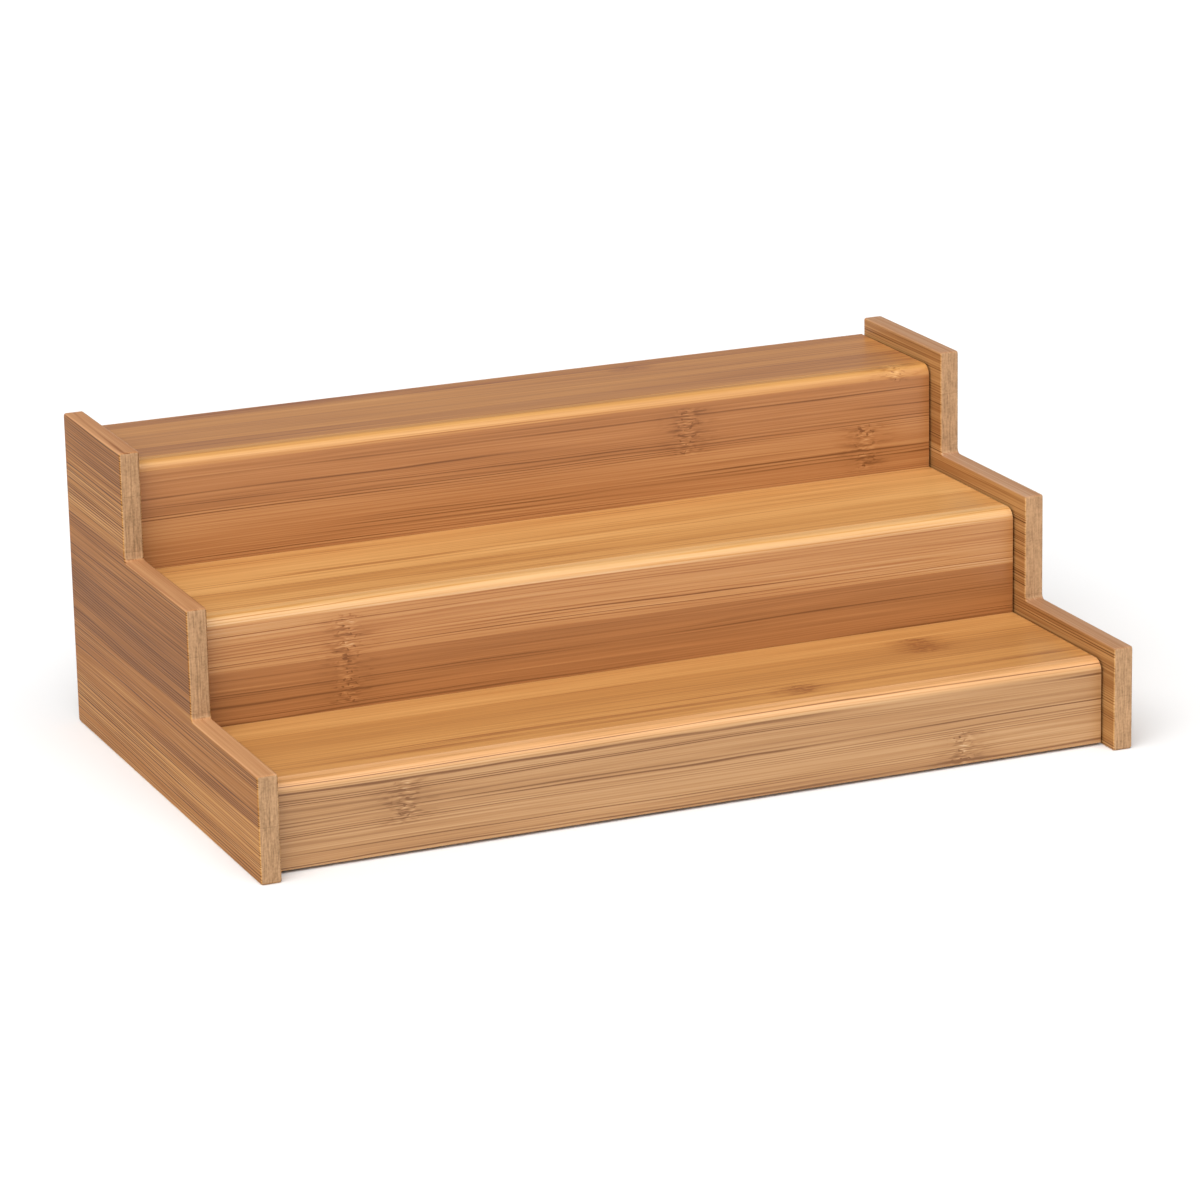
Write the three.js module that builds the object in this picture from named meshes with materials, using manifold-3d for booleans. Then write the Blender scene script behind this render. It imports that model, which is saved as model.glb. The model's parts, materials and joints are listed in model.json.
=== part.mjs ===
// Extendable three-tier shelf riser in laminated bamboo, drawn closed.
//
// Two stepped halves nest and slide apart along X. The outer half is the left side panel with
// its risers and treads. The inner half is the right side panel with a second run of risers and
// treads, one board lower and one board further back, closed at its free end by a stepped end
// panel that stands on the shelf. Each riser runs up to its tread's top, where its front edge is
// rounded, and the tread is glued in behind it. Blind dowels hold every board end, and guide
// pegs on the inner treads run in grooves under the outer ones.
//
// Millimetres. +X runs along the treads, the front faces -Y, +Z is up, and the origin is the
// middle of the closed riser's footprint.

import * as THREE from "three";
import { mergeVertices } from "three/addons/utils/BufferGeometryUtils.js";
import Module from "manifold-3d";

const wasm = await Module();
wasm.setup();

// Overall size, closed, and how far the inner half pulls out.
const LENGTH = 310;
const DEPTH = 190;
const HEIGHT = 110;
const TRAVEL = 190;

// The three tiers of a side panel, front to back. The top tier takes the depth that is left.
const TIERS = ["front", "middle", "top"];
const TIER_DEPTH = 64;
const TIER_RISE = 37;

// Boards.
const PANEL = 7;
const BOARD = 7;
const LIP = 6;
const RECESS = 7.5;
const FLOOR_GAP = 1;

// Running clearances: between nested boards, and between a free board end and a panel.
const NEST_GAP = 0.5;
const END_GAP = 0.75;
const NEST = BOARD + NEST_GAP;

// Edge shapes: radii and bevels, and how many straight steps make each arc.
const NOSING_RADIUS = 4;
const BOARD_EDGE = 0.25;
const BOARD_END_BEVEL = 0.2;
const PANEL_CORNER = 1;
const PANEL_NOTCH = 1.5;
const PANEL_BEVEL = 0.75;
const NOSING_STEPS = 12;
const EDGE_STEPS = 2;
const CORNER_STEPS = 3;
const BEVEL_STEPS = 2;

// Blind dowels, and the clearance round and past each one.
const DOWEL_RADIUS = 2;
const DOWEL_IN_PANEL = 4.5;
const DOWEL_IN_BOARD = 12;
const DOWEL_SIDES = 12;
const FIT_GAP = 0.15;
const DEPTH_GAP = 0.3;

// How far a cutter runs past the face that it opens.
const OVERCUT = 1;

// Guide pegs: which tiers have one, its place from the end panel, and its groove.
const PEG_TIERS = [0, 2];
const PEG_RADIUS = 2.5;
const PEG_FROM_END = 12;
const PEG_IN_TREAD = 4.5;
const PEG_IN_GROOVE = 3;
const PEG_SIDES = 20;
const GROOVE_DEPTH = 3.5;
const GROOVE_SIDE_GAP = 0.4;
const GROOVE_END_GAP = 0.5;
const GROOVE_ARC_STEPS = 6;

// Where the joint planes stand along X.
const LEFT_FACE = -LENGTH / 2 + PANEL;
const RIGHT_FACE = LENGTH / 2 - PANEL;
const INNER_END_LEFT = LEFT_FACE + END_GAP;
const INNER_FACE = INNER_END_LEFT + PANEL;
const OUTER_BOARD_LENGTH = RIGHT_FACE - END_GAP - LEFT_FACE;
const INNER_BOARD_LENGTH = RIGHT_FACE - INNER_FACE;
const PEG_X = INNER_FACE + PEG_FROM_END;
const BACK = DEPTH / 2;
const TOP_TIER = TIERS.length - 1;
const QUARTER_TURN = Math.PI / 2;

const FINISHES = {
  tread: { color: 0xc98c4c, roughness: 0.45 },
  riser: { color: 0xb87a46, roughness: 0.45 },
  panel: { color: 0xb5875a, roughness: 0.5 },
  endPanel: { color: 0xc49a68, roughness: 0.55 },
  dowel: { color: 0xd2b48a, roughness: 0.7 },
};

// ---- the stepped section that both halves share -----------------------------------------

function panelFront(tier) {
  return -DEPTH / 2 + tier * TIER_DEPTH;
}

function panelTop(tier) {
  return HEIGHT - (TOP_TIER - tier) * TIER_RISE;
}

// nest is 0 for the outer half and NEST for the inner one.
function riserFace(tier, nest) {
  return panelFront(tier) + RECESS + nest;
}

function treadTop(tier, nest) {
  return panelTop(tier) - LIP - nest;
}

// A tread lies between the riser that it stands behind and the next riser back.
function treadSection(tier, nest) {
  const top = treadTop(tier, nest);
  const back = tier < TOP_TIER ? riserFace(tier + 1, nest) : BACK;
  return { front: riserFace(tier, nest) + BOARD, back, bottom: top - BOARD, top };
}

// A riser runs from the underside of the tread in front of it up to its own tread's top.
function riserSection(tier, nest) {
  const front = riserFace(tier, nest);
  const bottom = tier === 0 ? FLOOR_GAP : treadTop(tier - 1, nest) - BOARD;
  return { front, back: front + BOARD, bottom, top: treadTop(tier, nest) };
}

// ---- outlines ---------------------------------------------------------------------------

// Each corner is [y, z, radius, steps], in order round the outline; a corner is rounded by an
// arc that touches both of its edges.
function roundedOutline(corners) {
  const points = [];
  corners.forEach(([y, z, radius, steps], index) => {
    const here = new THREE.Vector2(y, z);
    const before = corners[(index + corners.length - 1) % corners.length];
    const after = corners[(index + 1) % corners.length];
    const back = new THREE.Vector2(before[0], before[1]).sub(here).normalize();
    const ahead = new THREE.Vector2(after[0], after[1]).sub(here).normalize();
    const centre = here.clone().addScaledVector(back, radius).addScaledVector(ahead, radius);
    for (let step = 0; step <= steps; step += 1) {
      const turn = (QUARTER_TURN * step) / steps;
      const point = centre.clone();
      point.addScaledVector(ahead, -radius * Math.cos(turn));
      point.addScaledVector(back, -radius * Math.sin(turn));
      points.push(point);
    }
  });
  return new THREE.Shape(points);
}

function boardOutline(section, noseRadius, noseSteps) {
  const { front, back, bottom, top } = section;
  return roundedOutline([
    [front, bottom, BOARD_EDGE, EDGE_STEPS],
    [back, bottom, BOARD_EDGE, EDGE_STEPS],
    [back, top, BOARD_EDGE, EDGE_STEPS],
    [front, top, noseRadius, noseSteps],
  ]);
}

// fronts and tops give each tier's front edge and height, front tier first.
function steppedOutline(fronts, tops) {
  const corners = [
    [fronts[0], 0, PANEL_CORNER, CORNER_STEPS],
    [BACK, 0, PANEL_CORNER, CORNER_STEPS],
    [BACK, tops[TOP_TIER], PANEL_CORNER, CORNER_STEPS],
  ];
  for (let tier = TOP_TIER; tier >= 0; tier -= 1) {
    corners.push([fronts[tier], tops[tier], PANEL_CORNER, CORNER_STEPS]);
    if (tier > 0) {
      corners.push([fronts[tier], tops[tier - 1], PANEL_NOTCH, CORNER_STEPS]);
    }
  }
  return roundedOutline(corners);
}

// ---- solids -----------------------------------------------------------------------------

// Extrudes a (y, z) outline along +X from x = 0, with its end edges eased by the bevel.
function extrudeAlongX(outline, length, bevel) {
  const geometry = new THREE.ExtrudeGeometry(outline, {
    depth: length - 2 * bevel,
    bevelEnabled: true,
    bevelThickness: bevel,
    bevelSize: bevel,
    bevelOffset: -bevel,
    bevelSegments: BEVEL_STEPS,
  });
  geometry.translate(0, 0, bevel);
  const x = new THREE.Vector3(1, 0, 0);
  const y = new THREE.Vector3(0, 1, 0);
  const z = new THREE.Vector3(0, 0, 1);
  return geometry.applyMatrix4(new THREE.Matrix4().makeBasis(y, z, x));
}

// A round bar from start to end along X, at the given height and depth.
function barAlongX(start, end, y, z, radius) {
  const geometry = new THREE.CylinderGeometry(radius, radius, end - start, DOWEL_SIDES);
  geometry.rotateZ(-QUARTER_TURN);
  return geometry.translate((start + end) / 2, y, z);
}

// A round bar from bottom to top along Z.
function barAlongZ(bottom, top, x, y, radius) {
  const geometry = new THREE.CylinderGeometry(radius, radius, top - bottom, PEG_SIDES);
  geometry.rotateX(QUARTER_TURN);
  return geometry.translate(x, y, (bottom + top) / 2);
}

// A round-ended groove along X, from bottom up to bottom + height.
function grooveCutter(start, end, y, radius, bottom, height) {
  const outline = new THREE.Shape();
  outline.absarc(start, y, radius, QUARTER_TURN, 3 * QUARTER_TURN, false);
  outline.absarc(end, y, radius, -QUARTER_TURN, QUARTER_TURN, false);
  const options = { depth: height, bevelEnabled: false, curveSegments: GROOVE_ARC_STEPS };
  return new THREE.ExtrudeGeometry(outline, options).translate(0, 0, bottom);
}

function toSolid(geometry) {
  const bare = geometry.clone();
  bare.deleteAttribute("normal");
  bare.deleteAttribute("uv");
  const welded = mergeVertices(bare);
  const mesh = new wasm.Mesh({
    numProp: 3,
    vertProperties: new Float32Array(welded.attributes.position.array),
    triVerts: new Uint32Array(welded.index.array),
  });
  return new wasm.Manifold(mesh);
}

function toGeometry(solid) {
  const { vertProperties, triVerts } = solid.getMesh();
  const geometry = new THREE.BufferGeometry();
  geometry.setAttribute("position", new THREE.BufferAttribute(vertProperties, 3));
  geometry.setIndex(new THREE.BufferAttribute(triVerts, 1));
  geometry.computeVertexNormals();
  return geometry;
}

function cut(geometry, cutters) {
  let solid = toSolid(geometry);
  for (const cutter of cutters) {
    solid = solid.subtract(toSolid(cutter));
  }
  return toGeometry(solid);
}

function makePiece(name, geometry, x, finish) {
  const material = new THREE.MeshStandardMaterial({ ...finish, metalness: 0 });
  const piece = new THREE.Mesh(geometry, material);
  piece.name = name;
  piece.position.x = x;
  return piece;
}

// ---- dowels -----------------------------------------------------------------------------

// Where a board's dowels stand in its section: two across a tread, one in a riser.
function treadDowels({ front, back, bottom, top }) {
  const z = (bottom + top) / 2;
  const quarter = (back - front) / 4;
  return [
    { y: front + quarter, z },
    { y: back - quarter, z },
  ];
}

function riserDowels({ front, back, bottom, top }) {
  return [{ y: (front + back) / 2, z: (bottom + top) / 2 }];
}

// The boards of one half: name, section, outline and dowel places.
function boardsOf(half, nest) {
  const boards = [];
  TIERS.forEach((tierName, tier) => {
    const tread = treadSection(tier, nest);
    const riser = riserSection(tier, nest);
    boards.push({
      name: `${half}_tread_${tierName}`,
      kind: "tread",
      tier,
      section: tread,
      outline: boardOutline(tread, BOARD_EDGE, EDGE_STEPS),
      dowels: treadDowels(tread),
    });
    boards.push({
      name: `${half}_riser_${tierName}`,
      kind: "riser",
      tier,
      section: riser,
      outline: boardOutline(riser, NOSING_RADIUS, NOSING_STEPS),
      dowels: riserDowels(riser),
    });
  });
  return boards;
}

// Holes at one joint plane. into is +1 where the boards lie on the plane's +X side and -1 where
// they lie on its -X side; origin is the cut piece's own x = 0.
function dowelHoles(places, plane, into, origin) {
  const inPanel = plane - into * (DOWEL_IN_PANEL + DEPTH_GAP);
  const inBoard = plane + into * (DOWEL_IN_BOARD + DEPTH_GAP);
  const start = Math.min(inPanel, inBoard) - origin;
  const end = Math.max(inPanel, inBoard) - origin;
  return places.map(({ y, z }) => barAlongX(start, end, y, z, DOWEL_RADIUS + FIT_GAP));
}

function addDowels(half, boards, joint, plane, into) {
  for (const board of boards) {
    board.dowels.forEach(({ y, z }, index) => {
      const panelEnd = plane - into * DOWEL_IN_PANEL;
      const boardEnd = plane + into * DOWEL_IN_BOARD;
      const start = Math.min(panelEnd, boardEnd);
      const end = Math.max(panelEnd, boardEnd);
      const name = `dowel_${joint}_${board.kind}_${TIERS[board.tier]}_${index + 1}`;
      const bar = barAlongX(0, end - start, y, z, DOWEL_RADIUS);
      half.add(makePiece(name, bar, start, FINISHES.dowel));
    });
  }
}

// ---- guide pegs and their grooves -------------------------------------------------------

// A peg stands in the middle of what the outer and inner treads share.
function pegDepth(tier) {
  const outer = treadSection(tier, 0);
  const inner = treadSection(tier, NEST);
  return (inner.front + outer.back) / 2;
}

function grooveUnder(tier) {
  const start = PEG_X - GROOVE_END_GAP - LEFT_FACE;
  const end = start + TRAVEL + 2 * GROOVE_END_GAP;
  const radius = PEG_RADIUS + GROOVE_SIDE_GAP;
  const bottom = treadSection(tier, 0).bottom - OVERCUT;
  return grooveCutter(start, end, pegDepth(tier), radius, bottom, GROOVE_DEPTH + OVERCUT);
}

function pegHole(tier) {
  const top = treadTop(tier, NEST);
  const bottom = top - PEG_IN_TREAD - DEPTH_GAP;
  const x = PEG_X - INNER_FACE;
  return barAlongZ(bottom, top + OVERCUT, x, pegDepth(tier), PEG_RADIUS + FIT_GAP);
}

function guidePeg(tier) {
  const top = treadTop(tier, NEST);
  const bar = barAlongZ(
    top - PEG_IN_TREAD,
    top + NEST_GAP + PEG_IN_GROOVE,
    0,
    pegDepth(tier),
    PEG_RADIUS,
  );
  return makePiece(`guide_peg_${TIERS[tier]}`, bar, PEG_X, FINISHES.dowel);
}

// ---- the two halves ---------------------------------------------------------------------

function allDowels(boards) {
  return boards.flatMap((board) => board.dowels);
}

function sidePanel(name, left, plane, into, boards) {
  const outline = steppedOutline(
    TIERS.map((_, tier) => panelFront(tier)),
    TIERS.map((_, tier) => panelTop(tier)),
  );
  const blank = extrudeAlongX(outline, PANEL, PANEL_BEVEL);
  const geometry = cut(blank, dowelHoles(allDowels(boards), plane, into, left));
  return makePiece(name, geometry, left, FINISHES.panel);
}

function innerEndPanel(boards) {
  const outline = steppedOutline(
    TIERS.map((_, tier) => riserFace(tier, NEST)),
    TIERS.map((_, tier) => treadTop(tier, NEST)),
  );
  const blank = extrudeAlongX(outline, PANEL, PANEL_BEVEL);
  const holes = dowelHoles(allDowels(boards), INNER_FACE, 1, INNER_END_LEFT);
  return makePiece("inner_end_panel", cut(blank, holes), INNER_END_LEFT, FINISHES.endPanel);
}

function outerHalf() {
  const half = new THREE.Group();
  const boards = boardsOf("outer", 0);
  half.add(sidePanel("left_side_panel", -LENGTH / 2, LEFT_FACE, 1, boards));
  for (const board of boards) {
    const blank = extrudeAlongX(board.outline, OUTER_BOARD_LENGTH, BOARD_END_BEVEL);
    const cutters = dowelHoles(board.dowels, LEFT_FACE, 1, LEFT_FACE);
    if (board.kind === "tread" && PEG_TIERS.includes(board.tier)) {
      cutters.push(grooveUnder(board.tier));
    }
    half.add(makePiece(board.name, cut(blank, cutters), LEFT_FACE, FINISHES[board.kind]));
  }
  addDowels(half, boards, "left", LEFT_FACE, 1);
  return half;
}

function innerHalf() {
  const half = new THREE.Group();
  const boards = boardsOf("inner", NEST);
  half.add(sidePanel("right_side_panel", RIGHT_FACE, RIGHT_FACE, -1, boards));
  half.add(innerEndPanel(boards));
  for (const board of boards) {
    const blank = extrudeAlongX(board.outline, INNER_BOARD_LENGTH, BOARD_END_BEVEL);
    const cutters = dowelHoles(board.dowels, INNER_FACE, 1, INNER_FACE);
    cutters.push(...dowelHoles(board.dowels, RIGHT_FACE, -1, INNER_FACE));
    if (board.kind === "tread" && PEG_TIERS.includes(board.tier)) {
      cutters.push(pegHole(board.tier));
    }
    half.add(makePiece(board.name, cut(blank, cutters), INNER_FACE, FINISHES[board.kind]));
  }
  addDowels(half, boards, "right", RIGHT_FACE, -1);
  addDowels(half, boards, "end", INNER_FACE, 1);
  for (const tier of PEG_TIERS) {
    half.add(guidePeg(tier));
  }
  return half;
}

const riser = new THREE.Group();
riser.add(outerHalf(), innerHalf());

export default riser;
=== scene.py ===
"""Looks for an extendable three-tier shelf riser in lacquered bamboo, around its CAD model.

Every board, panel, dowel and peg is the CAD solid with its facets merged, its arcs shaded smooth
and a bamboo material that runs through it: strips glued side by side and in plies, fibres along
the grain, knuckles where a strip crosses a joint of the cane, and open end grain at cut ends.
"""

import json
import math
import random
from types import SimpleNamespace

import bmesh
import bpy
from mathutils import Matrix, Vector


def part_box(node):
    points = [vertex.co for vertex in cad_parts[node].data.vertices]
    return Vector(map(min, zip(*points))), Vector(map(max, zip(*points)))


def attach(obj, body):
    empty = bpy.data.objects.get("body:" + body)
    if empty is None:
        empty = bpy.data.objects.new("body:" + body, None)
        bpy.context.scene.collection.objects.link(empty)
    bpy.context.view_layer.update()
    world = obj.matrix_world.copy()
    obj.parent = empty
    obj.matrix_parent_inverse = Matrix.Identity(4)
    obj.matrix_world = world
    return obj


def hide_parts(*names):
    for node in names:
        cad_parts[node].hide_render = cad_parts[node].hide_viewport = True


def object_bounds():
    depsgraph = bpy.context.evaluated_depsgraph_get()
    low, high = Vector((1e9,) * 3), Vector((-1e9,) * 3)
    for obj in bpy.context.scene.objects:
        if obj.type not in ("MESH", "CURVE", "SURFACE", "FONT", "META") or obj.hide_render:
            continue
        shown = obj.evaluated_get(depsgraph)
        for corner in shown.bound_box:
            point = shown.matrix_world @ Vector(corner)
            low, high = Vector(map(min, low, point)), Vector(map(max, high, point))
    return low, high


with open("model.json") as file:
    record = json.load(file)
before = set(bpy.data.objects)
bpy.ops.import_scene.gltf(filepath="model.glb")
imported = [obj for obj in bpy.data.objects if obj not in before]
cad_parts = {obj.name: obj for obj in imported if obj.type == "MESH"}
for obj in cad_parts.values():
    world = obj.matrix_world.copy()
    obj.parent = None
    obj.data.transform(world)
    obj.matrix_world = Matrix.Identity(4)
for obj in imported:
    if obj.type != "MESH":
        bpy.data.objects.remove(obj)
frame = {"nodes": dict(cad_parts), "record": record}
cad_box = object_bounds()

MM = 0.001

# Meshes: vertices closer than this are one, facets this flat are one face, and edges that turn
# less than this are shaded smooth. The sharper ones are sanded off by so much.
WELD = 0.002 * MM
COPLANAR = math.radians(0.5)
SMOOTH_TURN = math.radians(50)
PANEL_SANDING = 0.6 * MM
BOARD_SANDING = 0.3 * MM

# The camera, as degrees round the object and as an offset of its aim from the object's centre.
AZIMUTH = -22.83
ELEVATION = 16.40
ROLL = -1.16
DISTANCE = 1.6994
LENS_MM = 150.4
AIM_OFFSET = Vector((0.002, 0, -0.0075))

END_GRAIN = ("#6A4F37", "#8F7051", "#A78361", "#BC956F")

# What differs between the kinds of wood. The order of axes is along the grain, across the
# strips and through the plies. Colours run from a dark fibre to the palest wood, and so do the
# top colours, for a kind that looks different where it faces up. On the risers and the fascia
# the top colours are paler wood with a painted highlight on the rounded tops; on the right and
# inner end panels they are painted shade on the tops. Lines are the dark fibres that show, with
# how many of them cross a metre and how far they bunch up, as parts of one line's share of the
# board. A gain is how strongly a pattern shows, with edge_gain for the lines on a board's edges.
# The tones are how much paler a knuckle's ridge is, and the wood around it.
TREAD = {
    "axes": "XYZ",
    "slot": "tread_bamboo",
    "strip": 20 * MM,
    "ply": 3.5 * MM,
    "colours": ("#8E562A", "#C1884A", "#D9A362", "#E8BD84"),
    "end_colours": END_GRAIN,
    "lines_per_metre": 380.0,
    "bunching": 4.0,
    "hairs_per_metre": 1000.0,
    "strip_gain": 0.2,
    "streak_gain": 0.4,
    "line_gain": 0.34,
    "edge_gain": 0.6,
    "hair_gain": 0.45,
    "fleck_gain": 1.5,
    "knuckle_tone": -0.06,
    "halo_tone": -0.2,
    "gloss": 0.5,
    "coat": 0.3,
}
CALM_TREAD = {**TREAD, "strip_gain": 0.15, "streak_gain": 0.26, "line_gain": 0.3}
TOP_TREAD = {**TREAD, "colours": ("#8C522A", "#BC8042", "#D3995A", "#E2B278")}
RISER = {
    "axes": "XZY",
    "slot": "riser_bamboo",
    "strip": 25 * MM,
    "ply": 3.5 * MM,
    "colours": ("#7A4A22", "#AA7140", "#BF8B56", "#D2AC82"),
    # Top colours: paler wood on the rounded top, with a painted highlight on it.
    "top_colours_with_painted_light": ("#885226", "#B87E3E", "#CD9654", "#D9AB74"),
    "end_colours": END_GRAIN,
    "lines_per_metre": 820.0,
    "bunching": 4.0,
    "hairs_per_metre": 1900.0,
    "strip_gain": 0.16,
    "streak_gain": 0.38,
    "line_gain": 0.5,
    "edge_gain": 0.65,
    "hair_gain": 0.5,
    "fleck_gain": 1.5,
    "knuckle_tone": 0.08,
    "halo_tone": -0.1,
    "gloss": 0.4,
    "coat": 0.15,
}
FASCIA = {
    **RISER,
    "strip": 18 * MM,
    "colours": ("#784E2A", "#A97C4F", "#BF9669", "#D2BA99"),
    # Top colours: paler wood on the rounded top, with a painted highlight on it.
    "top_colours_with_painted_light": ("#8A5A2E", "#BE8850", "#D69E66", "#E2B384"),
    "line_gain": 0.8,
}
PANEL = {
    "axes": "YZX",
    "slot": "panel_bamboo",
    "strip": 19 * MM,
    "ply": 3.7 * MM,
    "colours": ("#5A3316", "#95602D", "#B6854B", "#D0A66D"),
    "top_colours_with_painted_light": ("#82502F", "#AB774F", "#BD8B60", "#CDA481"),
    "end_colours": END_GRAIN,
    "lines_per_metre": 1100.0,
    "bunching": 1.6,
    "hairs_per_metre": 1200.0,
    "strip_gain": 0.12,
    "streak_gain": 0.36,
    "line_gain": 1.65,
    "edge_gain": 0.2,
    "hair_gain": 0.55,
    "fleck_gain": 2.0,
    "knuckle_tone": 0.1,
    "halo_tone": -0.1,
    "gloss": 0.05,
    "coat": 0.0,
}
CALM_PANEL = {
    **PANEL,
    "colours": ("#5E3A1F", "#966539", "#B68752", "#D0A774"),
    # Top colours: darker, as painted shade on the panels' tops.
    "top_colours_with_painted_light": ("#74482B", "#986C48", "#A87C59", "#BA9578"),
    "line_gain": 0.6,
    "streak_gain": 0.4,
}
DOWEL = {
    **TREAD,
    "axes": "XZY",
    "slot": "dowel_wood",
    "strip": 40 * MM,
    "ply": 40 * MM,
    "colours": ("#A97F50", "#D2AD7C", "#DFC093", "#EAD3AF"),
    "end_colours": ("#8A6A45", "#B08C62", "#C9A477", "#DDBE94"),
    "gloss": 0.3,
    "coat": 0.0,
}
PEG = {**DOWEL, "axes": "ZXY"}


# ---- shader graphs ----------------------------------------------------------------------


def linear(hex_colour):
    """A display colour such as #C98C4C as scene-linear RGBA."""
    channels = [int(hex_colour[i : i + 2], 16) / 255 for i in (1, 3, 5)]
    curve = [c / 12.92 if c <= 0.04045 else ((c + 0.055) / 1.055) ** 2.4 for c in channels]
    return (*curve, 1.0)


class Graph:
    """The node tree of a material or world, with a short method for each kind of node."""

    def __init__(self, owner):
        owner.use_nodes = True
        self.tree = owner.node_tree

    def feed(self, socket, value):
        if isinstance(value, bpy.types.NodeSocket):
            self.tree.links.new(value, socket)
        else:
            socket.default_value = value

    def add(self, kind, inputs, **settings):
        node = self.tree.nodes.new(kind)
        for key, value in settings.items():
            setattr(node, key, value)
        for key, value in inputs.items():
            self.feed(node.inputs[key], value)
        return node

    def math(self, operation, *values):
        return self.add("ShaderNodeMath", dict(enumerate(values)), operation=operation).outputs[0]

    def total(self, first, *others):
        for other in others:
            first = self.math("ADD", first, other)
        return first

    def product(self, first, *others):
        for other in others:
            first = self.math("MULTIPLY", first, other)
        return first

    def smooth(self, value, low, high):
        """0 below low and 1 above high, or the other way round if low is above high."""
        inputs = {"Value": value, "From Min": low, "From Max": high}
        return self.add("ShaderNodeMapRange", inputs, interpolation_type="SMOOTHSTEP").outputs[0]

    def vector(self, x, y, z):
        return self.add("ShaderNodeCombineXYZ", {"X": x, "Y": y, "Z": z}).outputs[0]

    def split(self, vector):
        return self.add("ShaderNodeSeparateXYZ", {0: vector}).outputs

    def noise(self, vector, detail=2.0, roughness=0.5):
        inputs = {"Vector": vector, "Scale": 1.0, "Detail": detail, "Roughness": roughness}
        return self.add("ShaderNodeTexNoise", inputs).outputs[0]

    def random(self, x, y, z):
        inputs = {"Vector": self.vector(x, y, z)}
        return self.add("ShaderNodeTexWhiteNoise", inputs, noise_dimensions="3D").outputs[0]

    def pattern(self, place, repeats, detail, roughness=0.5):
        """Noise that runs with the grain. place is (along the grain, across, deep)."""
        along, across, deep = place
        scaled = (
            self.math("MULTIPLY", along, repeats[0]),
            self.math("MULTIPLY", across, repeats[1]),
            self.math("MULTIPLY", deep, repeats[1]),
        )
        return self.noise(self.vector(*scaled), detail, roughness)

    def blend(self, share, first, second):
        node = self.add("ShaderNodeMix", {}, data_type="RGBA")
        self.feed(node.inputs["Factor"], share)
        self.feed(node.inputs["A"], first)
        self.feed(node.inputs["B"], second)
        return node.outputs["Result"]

    def signed(self, value, gain, middle=0.5):
        """How far value is from middle, times gain."""
        return self.math("MULTIPLY", self.math("SUBTRACT", value, middle), gain)

    def ramp(self, value, stops):
        node = self.add("ShaderNodeValToRGB", {0: value})
        elements = node.color_ramp.elements
        elements[0].position, elements[0].color = stops[0]
        elements[1].position, elements[1].color = stops[-1]
        for position, colour in stops[1:-1]:
            elements.new(position).color = colour
        return node.outputs[0]


# ---- bamboo -----------------------------------------------------------------------------

# Patterns: how often each repeats in a metre along the grain, and in a metre across it. The
# pores, on a board's ends, repeat through its thickness and across its strips instead.
STREAKS = (4.0, 130.0)
HAIRS_ALONG = 14.0
LINE_WOBBLES = (25.0, 500.0)
LINE_BUNCHES = (1.5, 240.0)
LINE_PATCHES = (6.0, 150.0)
LINE_FADES_ALONG = 8.0
DRIFTS = (7.0, 9.0)
SWAYS = (330.0, 130.0)
FLECKS = (300.0, 1900.0)
TICKS = (170.0, 1000.0)
PITS = (700.0, 800.0)
PORES = (2000.0, 170.0)

# A surface belongs to a board's end, edge or top as its normal turns that way, between these.
FACING_END = (0.6, 0.95)
FACING_EDGE = (0.5, 0.95)
# Surfaces that face up between these take the top colours and their painted light.
FACING_UP = (0.1, 0.8)

# Fibres wander by so much, and their layers lean from the strips' edges.
DRIFT = 2.5 * MM
LEAN = 0.3

# Dark fibres, with distances across them as parts of one line's share of the board: how far a
# line wobbles, where its middle can be, and its soft and dark halves.
WOBBLE = 0.7
LINE_FROM = 0.3
LINE_RANGE = 0.4
LINE_SOFT = 0.27
LINE_DARK = 0.05
# A line's strength is between the faintest and this much more, and most lines are faint. It
# comes and goes as noise does between two values.
FAINTEST = 0.3
STRENGTH_RANGE = 1.3
MOSTLY_FAINT = 2.5
HIDDEN = 0.22
SHOWN = 0.62
# Keeps the fades of neighbouring lines apart, and the strips' patterns too.
LINES_APART = 5.3
STRIPS_APART = 9.0

# Knuckles: half the length of the pale ridge and of the darker wood around it, how sharply both
# stop at a strip's edges, and how far the ridge pushes the fibres aside.
RIDGE_REACH = 3.6 * MM
HALO_REACH = 8.5 * MM
KNUCKLE_FADE = 1.2 * MM
KNUCKLE_SWAY = 0.45 * MM
# Knuckles are pitted, with short dark ticks around them: how much darker both are, and the
# noise values between which they begin.
PIT_SHADE = -0.45
PIT_NOISE = (0.66, 0.74)
TICK_SHADE = -0.3
TICK_NOISE = (0.52, 0.66)

# Glue between strips and plies: half its width, the darkest part of that, and its shade.
GLUE_LINE = 0.14 * MM
GLUE_CORE = 0.3
GLUE_SHADE = -0.2

# Each piece's patterns start this far along, at a place drawn by its name.
SEED_RANGE = (3, 60)

# Shades run from 0, the darkest fibre, to 1, the palest wood, through a kind's four colours.
PLAIN_SHADE = 0.72
COLOUR_STOPS = (0.0, 0.45, 0.7, 1.0)
PORE_GAIN = 1.1

# Lacquer: its smoothness and what fibres and end grain do to it, and the relief that shows.
ROUGHNESS = 0.4
HAIR_ROUGHNESS = 0.12
END_ROUGHNESS = 0.12
COAT_ROUGHNESS = 0.25
LACQUER_IOR = 1.5
RELIEF = 0.05 * MM
RELIEF_STRENGTH = 0.35
LINE_RELIEF = -0.6
HAIR_RELIEF = 0.5
STREAK_RELIEF = 0.8


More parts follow.
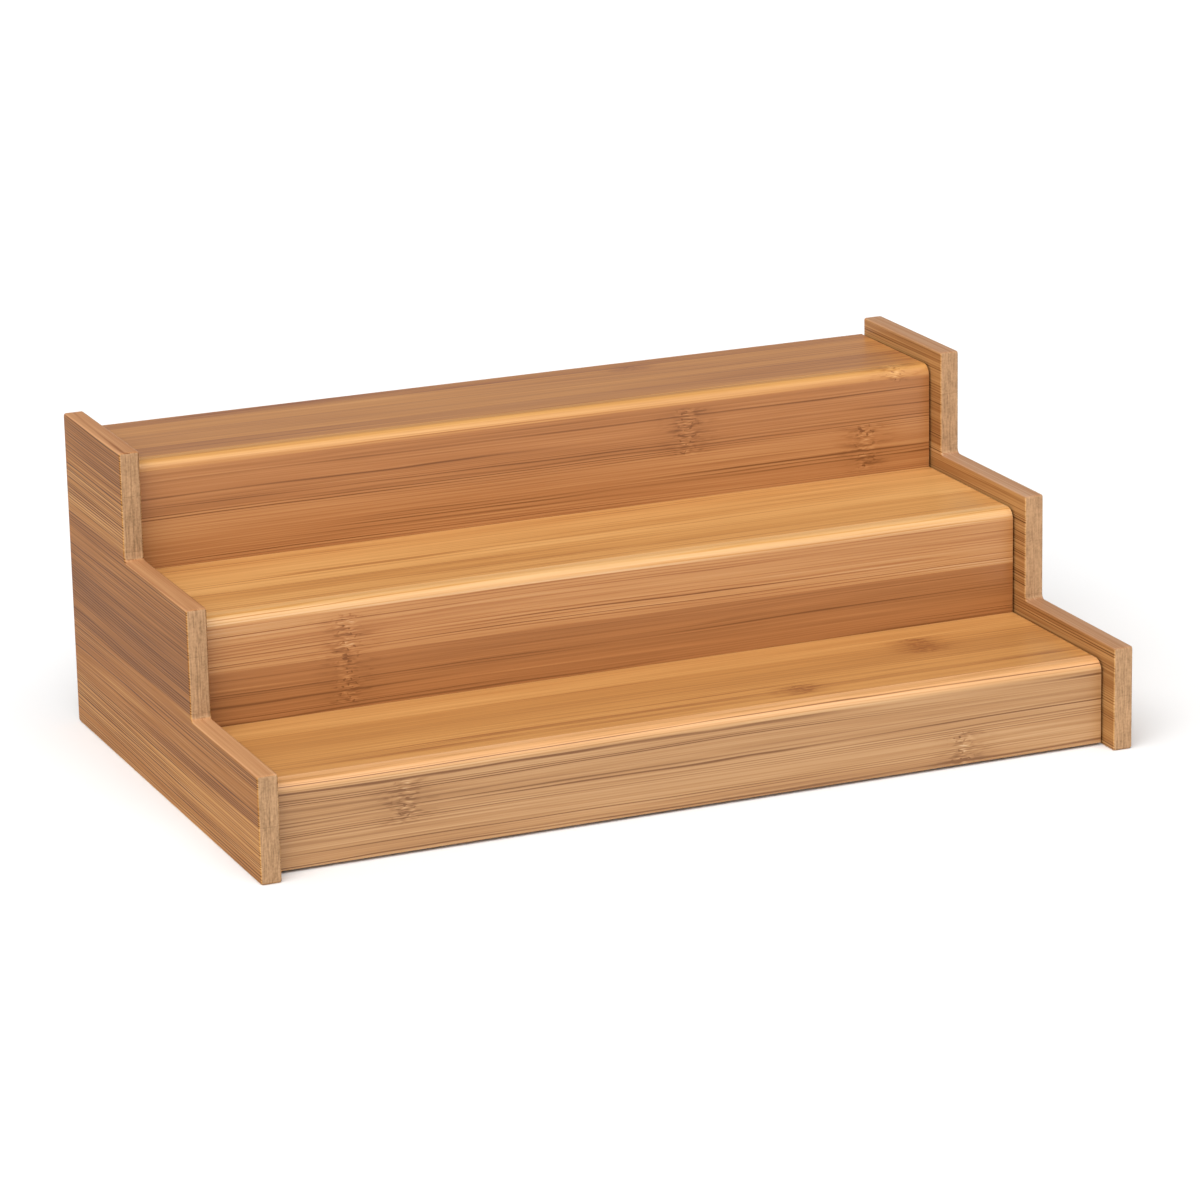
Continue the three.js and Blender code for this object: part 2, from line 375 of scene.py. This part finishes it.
def grain_space(graph, kind, corner, seed):
    """A board's own directions, which strip and ply a point is in, and which way it faces."""
    order = ["XYZ".index(axis) for axis in kind["axes"]]
    coordinates = graph.add("ShaderNodeTexCoord", {})
    place = graph.split(coordinates.outputs["Object"])
    facing = graph.split(coordinates.outputs["Normal"])
    space = SimpleNamespace()
    space.along, space.across, space.deep = (place[axis] for axis in order)
    space.end = graph.smooth(graph.math("ABSOLUTE", facing[order[0]]), *FACING_END)
    space.edge = graph.smooth(graph.math("ABSOLUTE", facing[order[1]]), *FACING_EDGE)
    # How far a surface faces up: there the top colours paint a highlight on risers and painted
    # shade on calm panels.
    space.top = graph.smooth(facing[2], *FACING_UP)
    from_strips = graph.math("SUBTRACT", space.across, corner[order[1]])
    from_plies = graph.math("SUBTRACT", space.deep, corner[order[2]])
    space.strip = graph.math("DIVIDE", from_strips, kind["strip"])
    space.ply = graph.math("DIVIDE", from_plies, kind["ply"])
    space.strip_number = graph.math("FLOOR", space.strip)
    space.tone = graph.random(space.strip_number, graph.math("FLOOR", space.ply), seed)
    space.own_along = graph.math("MULTIPLY_ADD", space.tone, STRIPS_APART, space.along)
    space.own_along = graph.math("ADD", space.own_along, seed)
    return space


def knuckle_mask(graph, space, knuckles, reach):
    """1 on a knuckle and 0 away from it. A knuckle is (along, across, half its width)."""
    mask = 0.0
    for place, middle, half_width in knuckles:
        offset = graph.math("DIVIDE", graph.math("SUBTRACT", space.along, place), reach)
        square = graph.math("MULTIPLY", offset, offset)
        bell = graph.math("EXPONENT", graph.math("MULTIPLY", square, -1.0))
        side = graph.math("ABSOLUTE", graph.math("SUBTRACT", space.across, middle))
        inside = graph.smooth(side, half_width + KNUCKLE_FADE, half_width - KNUCKLE_FADE)
        mask = graph.math("MULTIPLY_ADD", bell, inside, mask)
    return mask


def bend_fibres(graph, space, ridge):
    """Adds to space where a point would be if the fibres were straight, for patterns to follow."""
    straight = (space.along, space.across, space.deep)
    sway = graph.signed(graph.pattern(straight, SWAYS, 1.0), KNUCKLE_SWAY)
    own_straight = (space.own_along, space.across, space.deep)
    drift = graph.signed(graph.pattern(own_straight, DRIFTS, 0.0), DRIFT)
    bent = graph.total(space.across, graph.math("MULTIPLY", sway, ridge), drift)
    space.grain = (space.along, bent, space.deep)
    space.own_grain = (space.own_along, bent, space.deep)


def fibre_lines(graph, kind, space, seed):
    """Dark fibres: how strongly one shows at each point."""
    own_along, bent, deep = space.own_grain
    wobble = graph.signed(graph.pattern(space.own_grain, LINE_WOBBLES, 1.0), WOBBLE)
    bunches = graph.signed(graph.pattern(space.own_grain, LINE_BUNCHES, 0.0), kind["bunching"])
    layer = graph.math("MULTIPLY_ADD", deep, LEAN, bent)
    nudge = graph.math("ADD", wobble, bunches)
    place = graph.math("MULTIPLY_ADD", layer, kind["lines_per_metre"], nudge)
    number = graph.math("FLOOR", place)
    own = graph.random(number, space.tone, seed)

    middle = graph.math("MULTIPLY_ADD", own, LINE_RANGE, LINE_FROM)
    offset = graph.math("SUBTRACT", graph.math("FRACT", place), middle)
    line = graph.smooth(graph.math("ABSOLUTE", offset), LINE_SOFT, LINE_DARK)

    fades_along = graph.math("MULTIPLY", own_along, LINE_FADES_ALONG)
    fades_across = graph.math("MULTIPLY", number, LINES_APART)
    fades = graph.noise(graph.vector(fades_along, fades_across, 0.0), 1.0)
    patches = graph.pattern(space.own_grain, LINE_PATCHES, 1.0)
    strength = graph.math("POWER", own, MOSTLY_FAINT)
    return graph.product(
        line,
        graph.smooth(fades, HIDDEN, SHOWN),
        graph.smooth(patches, HIDDEN, SHOWN),
        graph.math("MULTIPLY_ADD", strength, STRENGTH_RANGE, FAINTEST),
    )


def strip_shade(graph, space, strips):
    """How much paler or darker a board's sides are in each strip, from the first on."""
    shade = 0.0
    for number, step in enumerate(strips):
        in_strip = graph.math("COMPARE", space.strip_number, number, 0.5)
        shade = graph.math("MULTIPLY_ADD", in_strip, step, shade)
    return graph.math("MULTIPLY", shade, graph.math("SUBTRACT", 1.0, space.end))


def line_shade(graph, kind, space, lines):
    """What the dark fibres take away: less on a board's edges, and nothing on its ends."""
    edge_loss = graph.math("MULTIPLY", space.edge, 1.0 - kind["edge_gain"])
    share = graph.math("SUBTRACT", 1.0, graph.math("MAXIMUM", space.end, edge_loss))
    return graph.product(lines, share, -kind["line_gain"])


def knuckle_shade(graph, kind, space, ridge, halo):
    """Flecks and pits on the ridges, and ticks in the wood around them."""
    flecks = graph.signed(graph.pattern(space.grain, FLECKS, 1.0, 0.6), kind["fleck_gain"])
    pits = graph.smooth(graph.pattern(space.grain, PITS, 0.0), *PIT_NOISE)
    ticks = graph.smooth(graph.pattern(space.grain, TICKS, 1.0), *TICK_NOISE)
    on_ridge = graph.total(flecks, kind["knuckle_tone"], graph.math("MULTIPLY", pits, PIT_SHADE))
    around = graph.math("MULTIPLY_ADD", ticks, TICK_SHADE, kind["halo_tone"])
    on_ridge = graph.math("MULTIPLY", on_ridge, ridge)
    return graph.math("MULTIPLY_ADD", around, halo, on_ridge)


def glue_line(graph, place, width):
    """1 on the joint between two strips or plies, 0 elsewhere. place counts strips."""
    from_middle = graph.math("ABSOLUTE", graph.signed(graph.math("FRACT", place), 1.0))
    return graph.smooth(from_middle, 0.5 - GLUE_LINE / width, 0.5 - GLUE_CORE * GLUE_LINE / width)


def glue_shade(graph, kind, space):
    between_strips = glue_line(graph, space.strip, kind["strip"])
    between_plies = glue_line(graph, space.ply, kind["ply"])
    joint = graph.math("MAXIMUM", between_strips, between_plies)
    return graph.math("MULTIPLY", joint, GLUE_SHADE)


def pore_shade(graph, space):
    """Open pores on the ends, narrow through the plies and long across the strips."""
    pores = graph.pattern((space.deep, space.across, space.along), PORES, 2.0, 0.6)
    return graph.math("MULTIPLY", graph.signed(pores, PORE_GAIN), space.end)


def wood_colour(graph, kind, space, shade):
    """A shade's colour on a board's sides, on its top with the painted light of the top colours,
    and on its ends.
    """
    ramps = {}
    for name in ("colours", "top_colours_with_painted_light", "end_colours"):
        colours = map(linear, kind.get(name, kind["colours"]))
        ramps[name] = graph.ramp(shade, list(zip(COLOUR_STOPS, colours)))
    # Surfaces that face up take the top colours, with their painted highlight on risers and
    # painted shade on calm panels.
    sides_and_painted_top = graph.blend(space.top, ramps["colours"], ramps["top_colours_with_painted_light"])
    return graph.blend(space.end, sides_and_painted_top, ramps["end_colours"])


def lacquer(graph, kind, space, lines, hairs, streaks):
    """Satin lacquer over the shader's base colour, in which the fibres stand out a little."""
    relief = graph.total(
        graph.math("MULTIPLY", lines, LINE_RELIEF),
        graph.signed(hairs, HAIR_RELIEF),
        graph.signed(streaks, STREAK_RELIEF),
    )
    bump_inputs = {"Strength": RELIEF_STRENGTH, "Distance": RELIEF, "Height": relief}
    bump = graph.add("ShaderNodeBump", bump_inputs)
    from_hairs = graph.signed(hairs, HAIR_ROUGHNESS)
    from_ends = graph.math("MULTIPLY", space.end, END_ROUGHNESS)
    inputs = graph.tree.nodes["Principled BSDF"].inputs
    graph.feed(inputs["Roughness"], graph.total(from_hairs, from_ends, ROUGHNESS))
    graph.feed(inputs["Normal"], bump.outputs[0])
    inputs["IOR"].default_value = LACQUER_IOR
    inputs["Specular IOR Level"].default_value = kind["gloss"]
    inputs["Coat Weight"].default_value = kind["coat"]
    inputs["Coat Roughness"].default_value = COAT_ROUGHNESS


def bamboo(name, kind, corner, knuckles, lighter, strips):
    """Lacquered bamboo. corner is where the board's first strip and ply begin."""
    material = bpy.data.materials.new(name)
    graph = Graph(material)
    seed = random.Random(name).uniform(*SEED_RANGE)
    space = grain_space(graph, kind, corner, seed)
    ridge = knuckle_mask(graph, space, knuckles, RIDGE_REACH)
    halo = knuckle_mask(graph, space, knuckles, HALO_REACH)
    bend_fibres(graph, space, ridge)

    lines = fibre_lines(graph, kind, space, seed)
    hairs = graph.pattern(space.own_grain, (HAIRS_ALONG, kind["hairs_per_metre"]), 1.0)
    streaks = graph.pattern(space.own_grain, STREAKS, 2.0)
    shade = graph.total(
        graph.signed(space.tone, kind["strip_gain"]),
        strip_shade(graph, space, strips),
        graph.signed(streaks, kind["streak_gain"]),
        graph.signed(hairs, -kind["hair_gain"]),
        line_shade(graph, kind, space, lines),
        glue_shade(graph, kind, space),
        pore_shade(graph, space),
        knuckle_shade(graph, kind, space, ridge, halo),
        PLAIN_SHADE + lighter,
    )
    base_colour = graph.tree.nodes["Principled BSDF"].inputs["Base Color"]
    graph.feed(base_colour, wood_colour(graph, kind, space, shade))
    lacquer(graph, kind, space, lines, hairs, streaks)
    return material


# ---- pieces -----------------------------------------------------------------------------


def surface_of(node):
    """A CAD node's solid as a new mesh: one face for each flat, with smooth arcs."""
    solid = bmesh.new()
    solid.from_mesh(frame["nodes"][node].data)
    bmesh.ops.remove_doubles(solid, verts=solid.verts, dist=WELD)
    bmesh.ops.dissolve_limit(solid, angle_limit=COPLANAR, verts=solid.verts, edges=solid.edges)
    bmesh.ops.recalc_face_normals(solid, faces=solid.faces)
    for face in solid.faces:
        face.smooth = True
    for edge in solid.edges:
        edge.smooth = edge.calc_face_angle(math.pi) < SMOOTH_TURN
    mesh = bpy.data.meshes.new(node + "_surface")
    solid.to_mesh(mesh)
    solid.free()
    return mesh


def finished_piece(node, material):
    """The piece that is seen in a CAD node's place."""
    piece = bpy.data.objects.new(node + "_finished", surface_of(node))
    bpy.context.scene.collection.objects.link(piece)
    piece.data.materials.append(material)
    edges = piece.modifiers.new("sanded edges", "BEVEL")
    edges.limit_method = "ANGLE"
    edges.angle_limit = SMOOTH_TURN
    edges.width = PANEL_SANDING if "panel" in node else BOARD_SANDING
    edges.segments = 2
    normals = piece.modifiers.new("flat faces stay flat", "WEIGHTED_NORMAL")
    normals.keep_sharp = True
    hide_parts(node)
    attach(piece, body_of[node])
    return piece


body_of = {
    node: body
    for body, nodes in frame["record"]["behaviour"]["bodies"].items()
    for node in nodes
}

# Knuckles on the boards that show, in millimetres: how far along the grain from the board's left
# or front end, how far across it from the lower or front edge, and how wide.
KNUCKLES = {
    "outer_riser_front": [(45, 17, 14), (243, 5, 12)],
    "outer_riser_middle": [(50, 24, 30)],
    "outer_riser_top": [(201, 31, 16), (270, 17, 16), (282, 43, 6)],
    "outer_tread_front": [(191, 9, 10), (249, 36, 16)],
    "outer_tread_top": [(200, 38, 6)],
    "right_side_panel": [(40, 9.5, 16), (113, 28.5, 16), (167, 85.5, 16)],
}

# Other boards have a knuckle in about every second strip, this far or further from their ends
# and nearly as wide as the strip.
KNUCKLE_CHANCE = 0.5
KNUCKLE_FROM_END = 10 * MM
KNUCKLE_HALF_STRIP = 0.42

# Boards that are paler or darker than their kind, as a step along their colours.
LIGHTER = {
    "outer_riser_middle": -0.03,
    "outer_riser_top": -0.04,
    "outer_tread_front": -0.08,
    "outer_tread_top": -0.19,
    "right_side_panel": 0.06,
}

# The same for each strip of some boards, from their lower or front edge.
STRIPS = {
    "left_side_panel": (0.1, -0.04, -0.2, -0.16, 0.08, -0.13),
    "outer_riser_middle": (-0.19, 0.14),
    "outer_riser_top": (0.06, -0.06),
    "outer_tread_front": (0.07, -0.1, 0.08),
    "outer_tread_middle": (0.0, 0.15, 0.0),
}

# Boards with a kind of their own.
OWN_KIND = {
    "outer_riser_front": FASCIA,
    "outer_tread_front": CALM_TREAD,
    "outer_tread_top": TOP_TREAD,
    "right_side_panel": CALM_PANEL,
    "inner_end_panel": CALM_PANEL,
}

# Otherwise the first of these words that is in a node's name says its kind.
KIND_BY_WORD = {"dowel": DOWEL, "peg": PEG, "tread": TREAD, "riser": RISER, "panel": PANEL}


def board_kind(node):
    by_word = (kind for word, kind in KIND_BY_WORD.items() if word in node)
    return OWN_KIND.get(node) or next(by_word)


def knuckles_on(node, kind):
    """A board's knuckles, each as (along, across, half its width) in the frame's own metres."""
    low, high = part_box(node)
    along, across = ("XYZ".index(axis) for axis in kind["axes"][:2])
    if node.startswith("inner_"):
        ends = (low[along] + KNUCKLE_FROM_END, high[along] - KNUCKLE_FROM_END)
        return seeded_knuckles(node, kind["strip"], ends, (low[across], high[across]))
    return [
        (low[along] + end * MM, low[across] + edge * MM, width * MM / 2)
        for end, edge, width in KNUCKLES.get(node, ())
    ]


def seeded_knuckles(node, strip, ends, edges):
    """Knuckles between two ends, in some of the strips between two edges."""
    chance = random.Random(node + " knuckles")
    places = []
    middle = edges[0] + strip / 2
    while middle < edges[1]:
        if chance.random() < KNUCKLE_CHANCE:
            places.append((chance.uniform(*ends), middle, KNUCKLE_HALF_STRIP * strip))
        middle += strip
    return places


for node in sorted(frame["nodes"]):
    kind = board_kind(node)
    first_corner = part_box(node)[0]
    knuckles = knuckles_on(node, kind)
    lighter = LIGHTER.get(node, 0.0)
    wood = bamboo(node + "_wood", kind, first_corner, knuckles, lighter, STRIPS.get(node, ()))
    finished_piece(node, wood)


# ---- floor, light and camera ------------------------------------------------------------

# Lights: azimuth, elevation and how far across, all in degrees, and strength.
LIGHTS = {
    "overhead": (-22, 60, 70, 2.65),
    "front_fill": (-38, 22, 60, 0.92),
    "left_fill": (-82, 28, 60, 0.7),
    "back_fill": (205, 30, 60, 0.55),
    "edge_gloss": (45, 54, 60, 0.6),
}
GLOSS_ONLY = ("edge_gloss",)
# The walls: their light from most directions and how much more there is just above the floor,
# with the sines of the elevations where that begins to fade and has gone.
WALL_LIGHT = 0.2
HORIZON_LIGHT = 0.85
HORIZON_WHITE = 0.075
HORIZON_FADES = 0.16
# The floor, in metres across, and how pale and how rough it is.
FLOOR_WIDTH = 12
FLOOR_PALENESS = 0.9
FLOOR_ROUGHNESS = 0.9


def direction(azimuth, elevation):
    """From the object outwards, in degrees: azimuth 0 is straight in front and 90 is +X."""
    turn = math.radians(azimuth)
    rise = math.radians(elevation)
    level = Vector((math.sin(turn), -math.cos(turn), 0)) * math.cos(rise)
    return level + Vector((0, 0, math.sin(rise)))


def pale_floor():
    bpy.ops.mesh.primitive_plane_add(size=FLOOR_WIDTH)
    floor = bpy.context.object
    floor.name = "floor"
    floor.location.z = cad_box[0].z
    paint = bpy.data.materials.new("floor_paint")
    paint.use_nodes = True
    shader = paint.node_tree.nodes["Principled BSDF"]
    shader.inputs["Base Color"].default_value = (FLOOR_PALENESS, FLOOR_PALENESS, FLOOR_PALENESS, 1)
    shader.inputs["Roughness"].default_value = FLOOR_ROUGHNESS
    floor.data.materials.append(paint)


def soft_light(name, azimuth, elevation, spread, strength):
    """A broad, even light from one direction."""
    light = bpy.data.lights.new(name, "SUN")
    light.angle = math.radians(spread)
    light.energy = strength
    lamp = bpy.data.objects.new(name, light)
    bpy.context.scene.collection.objects.link(lamp)
    lamp.rotation_mode = "QUATERNION"
    lamp.rotation_quaternion = direction(azimuth, elevation).to_track_quat("Z", "Y")
    return lamp


def studio_lights():
    for name, settings in LIGHTS.items():
        lamp = soft_light(name, *settings)
        lamp.visible_diffuse = name not in GLOSS_ONLY


def studio_walls():
    """Dim light from all round, but white just above the floor's edge, which carries it on."""
    world = bpy.data.worlds.new("studio")
    bpy.context.scene.world = world
    graph = Graph(world)
    height = graph.split(graph.add("ShaderNodeTexCoord", {}).outputs["Generated"])[2]
    low = graph.smooth(height, HORIZON_FADES, HORIZON_WHITE)
    background = graph.tree.nodes["Background"].inputs
    background["Color"].default_value = (1, 1, 1, 1)
    strength = graph.math("MULTIPLY_ADD", low, HORIZON_LIGHT, WALL_LIGHT)
    graph.feed(background["Strength"], strength)


def camera(centre):
    back = direction(AZIMUTH, ELEVATION)
    roll = math.radians(ROLL)
    level_right = Vector((0, 0, 1)).cross(back).normalized()
    level_up = back.cross(level_right)
    right = level_right * math.cos(roll) + level_up * math.sin(roll)
    up = level_up * math.cos(roll) - level_right * math.sin(roll)
    made = bpy.data.objects.new("camera", bpy.data.cameras.new("camera"))
    bpy.context.scene.collection.objects.link(made)
    made.data.lens = LENS_MM
    turn = Matrix((right, up, back)).transposed()
    place = centre + AIM_OFFSET + back * DISTANCE
    made.matrix_world = Matrix.Translation(place) @ turn.to_4x4()
    bpy.context.scene.camera = made


object_centre = (cad_box[0] + cad_box[1]) / 2
pale_floor()
studio_lights()
studio_walls()
camera(object_centre)
bpy.context.scene.view_settings.view_transform = "Standard"
